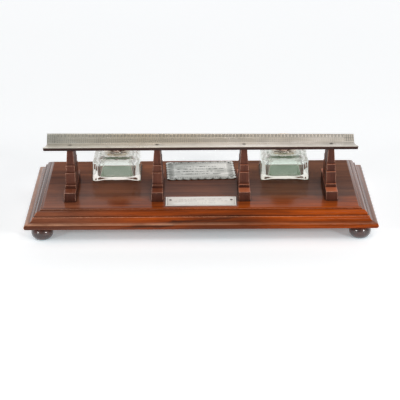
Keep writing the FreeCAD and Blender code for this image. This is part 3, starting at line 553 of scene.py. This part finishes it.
# ---------------------------------------------------------------- mesh helpers
def new_piece(name, points, faces, material, body, replaced, sharp, grime_and_shade=None):
    """Make a mesh piece, smooth up to an edge angle, that rides on a body and stands for a CAD node."""
    mesh = bpy.data.meshes.new(name)
    mesh.from_pydata([tuple(value * MM for value in point) for point in points], [], faces)
    mesh.validate()
    mesh.shade_smooth()
    mesh.set_sharp_from_angle(angle=math.radians(sharp))
    if grime_and_shade is not None:
        layer = mesh.attributes.new("grime_and_shade", "FLOAT", "POINT")
        layer.data.foreach_set("value", grime_and_shade)
    mesh.materials.append(material)
    piece = bpy.data.objects.new(name, mesh)
    bpy.context.scene.collection.objects.link(piece)
    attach(piece, body)
    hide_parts(replaced)


def closed_sheet(columns, rows, top, bottom):
    """Points, faces and darkening values of a closed sheet.

    top(i, j) gives a point and its darkening, bottom(i, j) the point under it, for grid steps i and j.
    """
    points, grime_and_shade, faces = [], [], []
    count = (columns + 1) * (rows + 1)
    for level in (top, bottom):
        for j in range(rows + 1):
            for i in range(columns + 1):
                point, soil_and_shade = level(i, j)
                points.append(point)
                grime_and_shade.append(soil_and_shade)

    def at(i, j, under=False):
        return j * (columns + 1) + i + (count if under else 0)

    for j in range(rows):
        for i in range(columns):
            faces.append((at(i, j), at(i + 1, j), at(i + 1, j + 1), at(i, j + 1)))
            faces.append((at(i, j, True), at(i, j + 1, True), at(i + 1, j + 1, True), at(i + 1, j, True)))
    for i in range(columns):
        faces.append((at(i, 0), at(i, 0, True), at(i + 1, 0, True), at(i + 1, 0)))
        faces.append((at(i, rows), at(i + 1, rows), at(i + 1, rows, True), at(i, rows, True)))
    for j in range(rows):
        faces.append((at(0, j), at(0, j + 1), at(0, j + 1, True), at(0, j, True)))
        faces.append((at(columns, j), at(columns, j, True), at(columns, j + 1, True), at(columns, j + 1)))
    return points, faces, grime_and_shade


def smoothstep(low, high, value):
    share = min(1.0, max(0.0, (value - low) / (high - low)))
    return share * share * (3 - 2 * share)


def ridge(distance, half_width):
    """A rounded ridge: 1 on its line, 0 from half_width outward."""
    return 1 - smoothstep(0.0, half_width, abs(distance))


def off_middle(place, pitch):
    """Signed distance from the middle of the cell that the place is in, for cells of one pitch."""
    return (place / pitch - math.floor(place / pitch) - 0.5) * pitch


def grain_noise(x, y, seed, size):
    return noise.noise(Vector((x / size, y / size, seed)))


def between(ends, share):
    return ends[0] + (ends[1] - ends[0]) * share


def grid_place(step, steps):
    """From -1 to 1 along a grid."""
    return 2 * step / steps - 1


def middle_and_half(low, high):
    """Centre and half size of a CAD box, in millimetres."""
    return (low + high) / (2 * MM), (high - low) / (2 * MM)


# ---------------------------------------------------------------- pen rest
class GirderSection:
    """The bent sheet cut across at one place: a flat ledge, a tight bend and a back leaning away.

    The back stands a little more upright at the left end than at the right; share runs from 0 to 1.
    """

    def __init__(self, front, base, share):
        run, rise = between(GIRDER_RUN, share), between(GIRDER_RISE, share)
        self.slope = math.atan2(rise, run)
        self.length = math.hypot(run, rise)
        ledge_z, bend_y = base + GIRDER_THICK, front + GIRDER_LEDGE
        set_back = GIRDER_BEND_RADIUS * math.tan(self.slope / 2)
        self.top, self.ways = [], []
        for step in range(LEDGE_ROWS):
            self.add(front + (GIRDER_LEDGE - set_back) * step / (LEDGE_ROWS - 1), ledge_z, -1.0)
        for step in range(1, BEND_ROWS + 1):
            angle = self.slope * step / BEND_ROWS
            self.add(bend_y - set_back + GIRDER_BEND_RADIUS * math.sin(angle),
                     ledge_z + GIRDER_BEND_RADIUS * (1 - math.cos(angle)), -1.0)
        for step in range(1, BACK_ROWS + 1):
            way = set_back + (self.length - set_back) * step / BACK_ROWS
            self.add(bend_y + way * math.cos(self.slope), ledge_z + way * math.sin(self.slope), way)

        slopes = [math.atan2(*ends) for ends in zip(GIRDER_RISE, GIRDER_RUN)]
        inner_y = bend_y + GIRDER_THICK * between([math.tan(slope / 2) for slope in slopes], share)
        across = GIRDER_THICK * between([math.sin(slope) for slope in slopes], share)
        up = GIRDER_THICK * between([math.cos(slope) for slope in slopes], share)
        end_y, end_z = bend_y + run + across, ledge_z + rise - up
        self.bottom = []
        for index in range(len(self.top)):
            if index <= LEDGE_ROWS:
                self.bottom.append((between((front, inner_y), index / LEDGE_ROWS), base))
            else:
                rest = (index - LEDGE_ROWS) / (len(self.top) - 1 - LEDGE_ROWS)
                self.bottom.append((between((inner_y, end_y), rest), between((base, end_z), rest)))

    def add(self, y, z, way):
        """A point of the upper face, and its way up the back; -1 stands for the ledge and the bend."""
        self.top.append((y, z))
        self.ways.append(way)


def rivet(across, upward, crown, foot, ring):
    """A rivet's height, and the dirt in a ring round its foot, both as shares."""
    radius = math.hypot(across, upward)
    return 1 - smoothstep(crown, foot, radius), ridge(radius - foot, ring)


def girder_relief(x, way, half, length):
    """Depth below the sheet's face and grime, at a place along the rail and up the leaning back."""
    from_top, from_end = length - way, half - abs(x)
    if from_top < NOTCH_BAND:
        notch = ridge(off_middle(x, NOTCH_PITCH), 0.45) * smoothstep(0.0, 0.35, from_top)
        return NOTCH_DEPTH * notch, 0.05 + 0.7 * notch
    if way < BARE_FOOT:
        return GROUND * smoothstep(0.0, BARE_FOOT, way), 0.15
    depth, soil_and_shade = GROUND, 0.10
    if from_end < GRID_WIDTH:
        if 0 <= way - GRID_FOOT < GRID_HEIGHT:
            head, ring = rivet(off_middle(from_end, RIVET_PITCH), off_middle(way - GRID_FOOT, RIVET_PITCH),
                               0.25, 0.62, 0.42)
            depth -= GRID_RIVET * head
            soil_and_shade += 0.85 * ring
    elif from_top < STIFFENER_BAND:
        off = off_middle(x, STIFFENER_PITCH)
        rise = smoothstep(STIFFENER_BAND, STIFFENER_BAND - 0.5, from_top)
        stiffener = ridge(off, 0.55) * rise * (1 - smoothstep(NOTCH_BAND + 0.4, NOTCH_BAND, from_top))
        depth -= STIFFENER_HEIGHT * stiffener
        soil_and_shade += 0.7 * max(0.55 * stiffener, ridge(abs(off) - 0.6, 0.4) * rise)
    elif from_top > FIELD_BAND:
        head, ring = rivet(off_middle(x, RIVET_PITCH), off_middle(way - FIELD_FOOT, RIVET_PITCH),
                           0.2, 0.5, 0.35)
        depth -= FIELD_RIVET * head
        soil_and_shade += (0.54 if x < 0 else 0.27) * ring
    depth -= LACING_HEIGHT * ridge(from_top - FIELD_BAND, 0.22)
    soil_and_shade += 0.3 * ridge(from_top - FIELD_BAND - 0.35, 0.2)
    return depth, soil_and_shade


def make_girder():
    low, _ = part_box("girder_plate")
    front, base = low.y / MM, low.z / MM

    def place_along(i, y):
        """X and the half length there; the sheet is shorter at its back than along its front edge."""
        half = GIRDER_HALF - SPLAY * min(1.0, (y - front) / SPLAY_DEPTH)
        return half * grid_place(i, GIRDER_COLUMNS), half

    sections = []
    for i in range(GIRDER_COLUMNS + 1):
        x = (GIRDER_HALF - SPLAY) * grid_place(i, GIRDER_COLUMNS)
        sections.append(GirderSection(front, base, (x / GIRDER_HALF + 1) / 2))

    def top(i, j):
        section = sections[i]
        y, z = section.top[j]
        way = section.ways[j]
        x, half = place_along(i, y)
        if way < 0:
            return (x, y, z), 0.06 + 0.25 * max(0.0, grain_noise(x, y, 2.0, 9.0))
        depth, soil_and_shade = girder_relief(x, way, half, section.length)
        soil_and_shade += 0.25 * max(0.0, grain_noise(x, way, 5.0, 14.0))
        return (x, y + depth * math.sin(section.slope), z - depth * math.cos(section.slope)), min(1.0, soil_and_shade)

    def bottom(i, j):
        y, z = sections[i].bottom[j]
        # Painted shade: the underside is darkened, fully along its front row, for the shaded strip under the
        # ledge's front lip.
        return (place_along(i, y)[0], y, z), 1.0 if j == 0 else 0.3

    points, faces, grime_and_shade = closed_sheet(GIRDER_COLUMNS, len(sections[0].top) - 1, top, bottom)
    new_piece("girder_detail", points, faces, girder_silver, "base", "girder_plate",
              50, grime_and_shade)


# ---------------------------------------------------------------- plates on the top
def engraved(x, y, half_length, seed, width=0.75):
    """Strength of a row of short generic strokes centred on y = 0, with ragged ends."""
    if abs(x) > half_length:
        return 0.0
    stroke = noise.noise(Vector((x * 0.9, seed * 7.7, 0.0)))
    stroke += 0.35 * noise.noise(Vector((x * 2.3, seed, 4.0)))
    gap = noise.noise(Vector((x * 0.28, seed * 3.1, 9.0)))
    wobble = 0.35 * noise.noise(Vector((x * 1.3, seed * 1.9, 2.0)))
    present = smoothstep(-0.25, 0.15, stroke) * smoothstep(-0.45, -0.2, gap)
    return present * ridge(y - wobble, width)


def border_relief(gap, lobe_place, lobe, corner):
    """Depth and grime in the plaque's border: fans and curls that swell between its two edges."""
    fan = 0.5 + 0.5 * math.cos(lobe_place * math.pi * 10 * (0.45 + 0.55 * gap / BORDER))
    curl = 0.5 + 0.5 * math.sin(math.hypot(lobe_place * 9.0, gap - 3.2) * 2.4 + lobe)
    swell = math.sin(math.pi * min(1.0, max(0.0, gap / BORDER)))
    depth = BORDER_GROUND - 0.42 * swell * (0.35 + 0.65 * (fan * 0.6 + curl * 0.4)) - 0.1 * corner * curl
    soil_and_shade = 0.12 + 0.42 * (1 - fan) * swell + 0.2 * (1 - curl) * swell
    soil_and_shade += 0.8 * smoothstep(0.2, 0.5, abs(lobe_place)) * (1 - smoothstep(1.4, 3.6, gap))
    return depth, soil_and_shade


def plaque_relief(x, y, half_x, half_y):
    """Depth below the plaque's face and grime: a scalloped border round a soft, engraved field."""
    gap_x, gap_y = half_x - abs(x), half_y - abs(y)
    gap = min(gap_x, gap_y)
    depth, soil_and_shade = FIELD_GROUND, 0.12
    if gap < BORDER:
        way = x / (2 * half_x) if gap_y < gap_x else y / (2 * half_y)
        phase = (way + 0.5) * PLAQUE_LOBES[0 if gap_y < gap_x else 1]
        corner = smoothstep(BORDER + 3.0, BORDER - 2.0, max(gap_x, gap_y))
        depth, soil_and_shade = border_relief(gap, off_middle(phase, 1.0), math.floor(phase), corner)
    rim, bead = ridge(gap - 0.7, 0.9), ridge(gap - BORDER, 0.8)
    depth = min(depth, BORDER_GROUND - 0.55 * rim, BORDER_GROUND - 0.25 * bead)
    soil_and_shade = soil_and_shade * (1 - 0.8 * rim) * (1 - bead)
    if gap > BORDER + 1.5:
        depth += 0.07 * grain_noise(x, y, 3.0, 6.0)
        for row, half_length in enumerate(PLAQUE_LINES):
            off_line = y - PLAQUE_FIRST_LINE + row * PLAQUE_LINE_PITCH
            cut = engraved(x, off_line, half_length, 1.0 + row, 1.25)
            depth += 0.20 * cut
            soil_and_shade += 2.2 * cut
    return max(0.0, depth), min(1.0, max(0.0, soil_and_shade))


def make_plaque():
    low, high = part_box("presentation_plaque")
    centre, reach = middle_and_half(low, high)
    cos, sin = math.cos(PLAQUE_TURN), math.sin(PLAQUE_TURN)
    spread = cos * cos - sin * sin
    base_x = (reach.x * cos - reach.y * sin) / spread - LOBE_DEPTH
    base_y = (reach.y * cos - reach.x * sin) / spread - LOBE_DEPTH
    columns, rows = PLAQUE_STEPS

    def bulge(lobes, along_edge):
        return LOBE_DEPTH * abs(math.sin(math.pi * lobes * (along_edge + 1) / 2)) ** 0.7

    def plan(i, j):
        s, t = grid_place(i, columns), grid_place(j, rows)
        return (s * (base_x + bulge(PLAQUE_LOBES[1], t) * s ** 8),
                t * (base_y + bulge(PLAQUE_LOBES[0], s) * t ** 8))

    def turned(x, y, z):
        return centre.x + x * cos - y * sin, centre.y + x * sin + y * cos, z

    def top(i, j):
        x, y = plan(i, j)
        depth, soil_and_shade = plaque_relief(x, y, base_x + 0.6, base_y + 0.6)
        return turned(x, y, high.z / MM - depth), soil_and_shade

    def bottom(i, j):
        # Painted shade: the underside and the edge walls are darkened, for the shade along the plaque's edge.
        return turned(*plan(i, j), low.z / MM), 0.6

    points, faces, grime_and_shade = closed_sheet(columns, rows, top, bottom)
    new_piece("plaque_engraved", points, faces, plaque_silver, "base", "presentation_plaque",
              60, grime_and_shade)


def make_nameplate():
    low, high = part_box("nameplate")
    centre, half = middle_and_half(low, high)
    columns, rows = NAME_STEPS

    def plan(i, j):
        return half.x * grid_place(i, columns), half.y * grid_place(j, rows)

    def top(i, j):
        x, y = plan(i, j)
        gap = min(half.x - abs(x), half.y - abs(y))
        groove = ridge(gap - NAME_BORDER, 0.55)
        depth = 0.22 * (1 - smoothstep(0.0, NAME_EDGE, gap)) + NAME_CUT * groove
        soil_and_shade = 0.5 * groove + 0.14 * smoothstep(NAME_BORDER, NAME_BORDER + 0.8, gap)
        if gap > NAME_BORDER + 1.0:
            for row, half_length in enumerate(NAME_LINES):
                cut = 0.7 * engraved(x, y + (row - 1) * NAME_LINE_PITCH, half_length, 11.0 + row)
                depth += NAME_CUT * cut
                soil_and_shade += 1.1 * cut
        return (centre.x + x, centre.y + y, high.z / MM - depth), min(1.0, soil_and_shade)

    def bottom(i, j):
        x, y = plan(i, j)
        return (centre.x + x, centre.y + y, low.z / MM), 0.5

    points, faces, grime_and_shade = closed_sheet(columns, rows, top, bottom)
    new_piece("nameplate_engraved", points, faces, name_silver, "base", "nameplate",
              50, grime_and_shade)


# ---------------------------------------------------------------- soft pads under the bottles
def make_baize(side, seed):
    """A square of baize in the recess: rounded and slightly ragged edges, surface matted by the bottle."""
    low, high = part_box(side + "_baize_pad")
    centre, reach = middle_and_half(low, high)
    half, thick = reach.x, 2 * reach.z

    def frayed(way, across, axis_seed):
        fray = FRAY + FRAY_SWING * noise.noise(Vector((across * FRAYS_ACROSS, seed, axis_seed)))
        return way * (half - max(0.0, fray))

    def plan(i, j):
        s, t = grid_place(i, BAIZE_STEPS), grid_place(j, BAIZE_STEPS)
        return frayed(s, t, 1.0), frayed(t, s, 2.0)

    def top(i, j):
        x, y = plan(i, j)
        gap = half - max(abs(x), abs(y))
        drop = BAIZE_SINK + BAIZE_THINNING * thick * (1 - smoothstep(0.1, 1.1, gap))
        nap = 0.05 * grain_noise(x, y, seed, 1.1) + 0.03 * grain_noise(x, y, seed, 5.0)
        return (centre.x + x, centre.y + y, high.z / MM - drop - abs(nap)), 0.0

    def bottom(i, j):
        x, y = plan(i, j)
        return (centre.x + x, centre.y + y, low.z / MM), 0.0

    points, faces, _ = closed_sheet(BAIZE_STEPS, BAIZE_STEPS, top, bottom)
    new_piece(side + "_baize_cloth", points, faces, green_baize, "base",
              side + "_baize_pad", 70)


# ---------------------------------------------------------------- bottles
def quarter_turn(steps):
    """Sine and cosine at equal steps from 0 to 90 degrees."""
    angles = [math.radians(90 * step / steps) for step in range(steps + 1)]
    return [(math.sin(angle), math.cos(angle)) for angle in angles]


def bottle_sections(half, height):
    """(half width, corner radius, height) from under the base, over the lip and down to the inner floor."""
    sections = [(half - BASE_ROUND * (1 - sin), OUTER_CORNER, BASE_ROUND * (1 - cos))
                for sin, cos in quarter_turn(3)]
    for step, (sin, cos) in enumerate(quarter_turn(7)):
        sections.append((half - WALL_LEAN - SHOULDER * (1 - cos), OUTER_CORNER + CORNER_GROWTH * step,
                         BODY_HEIGHT - SHOULDER + SHOULDER * sin))
    turned = [(DOME_FOOT, BODY_HEIGHT + 0.2), (DOME_FOOT - 2.2, BODY_HEIGHT + 0.9),
              (NECK_RADIUS + 0.8, NECK_FOOT - 0.7), (NECK_RADIUS, NECK_FOOT), (NECK_RADIUS, height - LIP),
              (NECK_RADIUS - LIP, height), (MOUTH_RADIUS + LIP, height), (MOUTH_RADIUS, height - LIP),
              (MOUTH_RADIUS, ROOF + ROOF_DOME)]
    sections += [(radius, radius, level) for radius, level in turned]
    sections += [(CAVITY_HALF - ROOF_ROUND * (1 - sin), CAVITY_CORNER, ROOF - ROOF_ROUND * (1 - cos))
                 for sin, cos in quarter_turn(9)]
    sections += [(CAVITY_HALF - FLOOR_ROUND * (1 - cos), CAVITY_CORNER,
                  CAVITY_FLOOR + FLOOR_ROUND * (1 - sin)) for sin, cos in quarter_turn(4)]
    return sections


def square_ring(half, corner):
    """Points round a square with rounded corners; a corner as big as the half width makes it round."""
    corner = min(corner, half - NEARLY_ROUND)
    ring = []
    for quarter, (side_x, side_y) in enumerate(((1, 1), (-1, 1), (-1, -1), (1, -1))):
        for step in range(CORNER_STEPS + 1):
            angle = math.radians(90 * (quarter + step / CORNER_STEPS))
            ring.append((side_x * (half - corner) + corner * math.cos(angle),
                         side_y * (half - corner) + corner * math.sin(angle)))
    return ring


def make_bottle(side):
    """One skin of pressed glass: square outside, with a barrel-cornered cavity under a domed roof."""
    low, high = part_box(side + "_bottle")
    centre, reach = middle_and_half(low, high)
    base = low.z / MM
    sections = bottle_sections(reach.x, high.z / MM - base)
    points = [(centre.x, centre.y, base)]
    for half, corner, level in sections:
        points += [(centre.x + x, centre.y + y, base + level) for x, y in square_ring(half, corner)]
    points.append((centre.x, centre.y, base + CAVITY_FLOOR + FLOOR_DOME))
    around = 4 * (CORNER_STEPS + 1)
    last_ring = 1 + (len(sections) - 1) * around
    faces = []
    for k in range(around):
        following = (k + 1) % around
        faces.append((0, 1 + following, 1 + k))
        for start in range(1, last_ring, around):
            faces.append((start + k, start + following, start + around + following, start + around + k))
        faces.append((last_ring + k, last_ring + following, len(points) - 1))
    new_piece(side + "_bottle_glass", points, faces, glass, side + "_inkwell",
              side + "_bottle", 60)


# ---------------------------------------------------------------- finish on the CAD nodes
def edge_tree():
    """Modifier nodes that join split vertices and shade smooth up to a sharp angle."""
    tree = bpy.data.node_groups.new("edge_finish", "GeometryNodeTree")
    tree.interface.new_socket("Geometry", in_out="INPUT", socket_type="NodeSocketGeometry")
    tree.interface.new_socket("Geometry", in_out="OUTPUT", socket_type="NodeSocketGeometry")
    add, link = tree.nodes.new, tree.links.new
    start, end = add("NodeGroupInput"), add("NodeGroupOutput")
    merge = add("GeometryNodeMergeByDistance")
    merge.inputs["Distance"].default_value = WELD
    angle = add("GeometryNodeInputMeshEdgeAngle")
    steep = add("FunctionNodeCompare")
    steep.operation = "GREATER_THAN"
    steep.inputs[1].default_value = math.radians(SMOOTH_TO)
    normal = add("GeometryNodeSetMeshNormal")
    normal.mode = "SHARPNESS"
    normal.inputs["Remove Custom"].default_value = True
    link(start.outputs[0], merge.inputs["Geometry"])
    link(merge.outputs[0], normal.inputs["Mesh"])
    link(angle.outputs["Unsigned Angle"], steep.inputs[0])
    link(steep.outputs[0], normal.inputs["Edge Sharpness"])
    link(normal.outputs[0], end.inputs[0])
    return tree


EDGE_TREE = edge_tree()


def dress(name, material, bevel_mm=0.0):
    """Give a CAD node its material and, where wanted, softly rounded edges."""
    node = nodes[name]
    node.data.materials.clear()
    node.data.materials.append(material)
    if bevel_mm:
        weld = node.modifiers.new("edge_finish", "NODES")
        weld.node_group = EDGE_TREE
        soft = node.modifiers.new("soft_edges", "BEVEL")
        soft.width = bevel_mm * MM
        soft.segments = 2
        soft.limit_method = "ANGLE"
        soft.angle_limit = math.radians(BEVEL_FROM)
        soft.harden_normals = True
        soft.use_clamp_overlap = True


def dress_cad_nodes():
    dress("lower_board", plinth_wood, 0.4)
    dress("upper_board", plinth_wood, 0.4)
    for name in ("pier_outer_left", "pier_inner_left", "pier_inner_right", "pier_outer_right"):
        dress(name, pier_wood, 0.35)
    dress("rail_board", rail_wood, 0.25)
    for name in ("foot_front_left", "foot_front_right", "foot_back_left", "foot_back_right"):
        dress(name, foot_wood)
    dress("pier_screws", screw_steel)
    dress("rail_screws", screw_plate)
    dress("nameplate_pins", dark_pin)
    dress("plaque_pins", pin_silver)
    for side in SIDES:
        dress(side + "_collar", mount_plate)
        dress(side + "_lid", mount_plate)
        dress(side + "_hinge_pin", pin_brass)


# ---------------------------------------------------------------- floor, light and camera
def make_floor():
    """White paper with a painted glow of its own: cut deep under the inkstand, raised in the half shade round
    it and growing toward the back, with a painted bluish tint in the shade, so the shadow stays soft and
    narrow.
    """
    reach = 8.0
    corners = [(-reach, -reach, 0), (reach, -reach, 0), (reach, reach, 0), (-reach, reach, 0)]
    mesh = bpy.data.meshes.new("floor")
    mesh.from_pydata(corners, [], [(0, 1, 2, 3)])
    made = Finish("white_sweep", Roughness=0.7, Emission_Color=(0.98, 0.985, 1.0))
    open_air = made.exposure(50.0)
    paper = made.noise(made.at((0.004, 0.004, 0.004)), detail=2.0)
    lit = made.mix(paper, (0.85, 0.865, 0.87), (0.87, 0.885, 0.89))
    levels = [(0.08, 0.06), (0.20, 0.36), (0.36, 0.51), (0.55, 0.53), (0.80, 0.40), (1.0, 0.29)]
    painted_glow = made.ramp(open_air, [(place, (level, level, level)) for place, level in levels])
    painted_glow = made.math("ADD", painted_glow, made.remap(made.axes()["Y"], 100.0, 1500.0, 0.0, 0.12))
    # Painted shadow: the paper turns bluish where the inkstand shades it.
    colour = made.mix(made.remap(open_air, 0.2, 0.6), (0.66, 0.86, 0.95), lit)
    made.set(Base_Color=colour, Emission_Strength=painted_glow)
    mesh.materials.append(made.material)
    floor = bpy.data.objects.new("floor", mesh)
    bpy.context.scene.collection.objects.link(floor)


def make_world():
    """A pale studio: white wall and ceiling behind, darker toward the viewer."""
    world = bpy.data.worlds.new("studio")
    world.use_nodes = True
    sky = Graph(world.node_tree)
    direction = sky.add("TexCoord").outputs["Generated"]
    depth = sky.add("SeparateXYZ", {0: direction}).outputs["Y"]
    level = sky.remap(depth, -0.20, 0.45, 0.34, 0.84)
    level = sky.math("ADD", level, sky.remap(depth, 0.62, 0.95, 0.0, 0.26))
    background = sky.nodes["Background"]
    sky.feed(background.inputs["Color"], (0.985, 0.99, 1.0))
    sky.feed(background.inputs["Strength"], level)
    bpy.context.scene.world = world


def softbox(name, direction, distance, size, power, colour):
    """A round soft light that looks at the middle of the plinth's top."""
    light = bpy.data.lights.new(name, "AREA")
    light.shape = "DISK"
    light.size = size
    light.energy = power
    light.color = colour
    lamp = bpy.data.objects.new(name, light)
    target = Vector((0, 0, BOARD_TOP))
    lamp.location = target + Vector(direction).normalized() * distance
    lamp.rotation_euler = (target - lamp.location).to_track_quat("-Z", "Y").to_euler()
    bpy.context.scene.collection.objects.link(lamp)


def make_camera():
    """A long lens, about 21 degrees down, almost square to the front."""
    data = bpy.data.cameras.new("camera")
    data.sensor_width = SENSOR
    data.lens = LENS
    data.clip_start, data.clip_end = 0.05, 30.0
    camera = bpy.data.objects.new("camera", data)
    place = Matrix.Translation(Vector(EYE) + Vector((0, 0, BOARD_TOP)))
    yaw = Matrix.Rotation(math.radians(YAW), 4, "Z")
    pitch = Matrix.Rotation(math.radians(90 - DOWN), 4, "X")
    roll = Matrix.Rotation(math.radians(ROLL), 4, "Z")
    camera.matrix_world = place @ yaw @ pitch @ roll
    bpy.context.scene.collection.objects.link(camera)
    bpy.context.scene.camera = camera


make_girder()
make_plaque()
make_nameplate()
for side, seed in zip(SIDES, (20.0, 30.0)):
    make_baize(side, seed)
    make_bottle(side)
dress_cad_nodes()
make_floor()
make_world()
softbox("window_left", (-0.62, -0.72, 0.30), 1.9, 0.26, 9.0, (1.0, 0.985, 0.96))
softbox("window_right", (0.62, -0.72, 0.30), 1.9, 0.26, 13.0, (1.0, 0.985, 0.96))
softbox("ceiling", (0.25, -0.62, 0.75), 2.0, 0.5, 5.0, (1.0, 0.99, 0.98))
make_camera()
bpy.context.scene.view_settings.view_transform = "Standard"
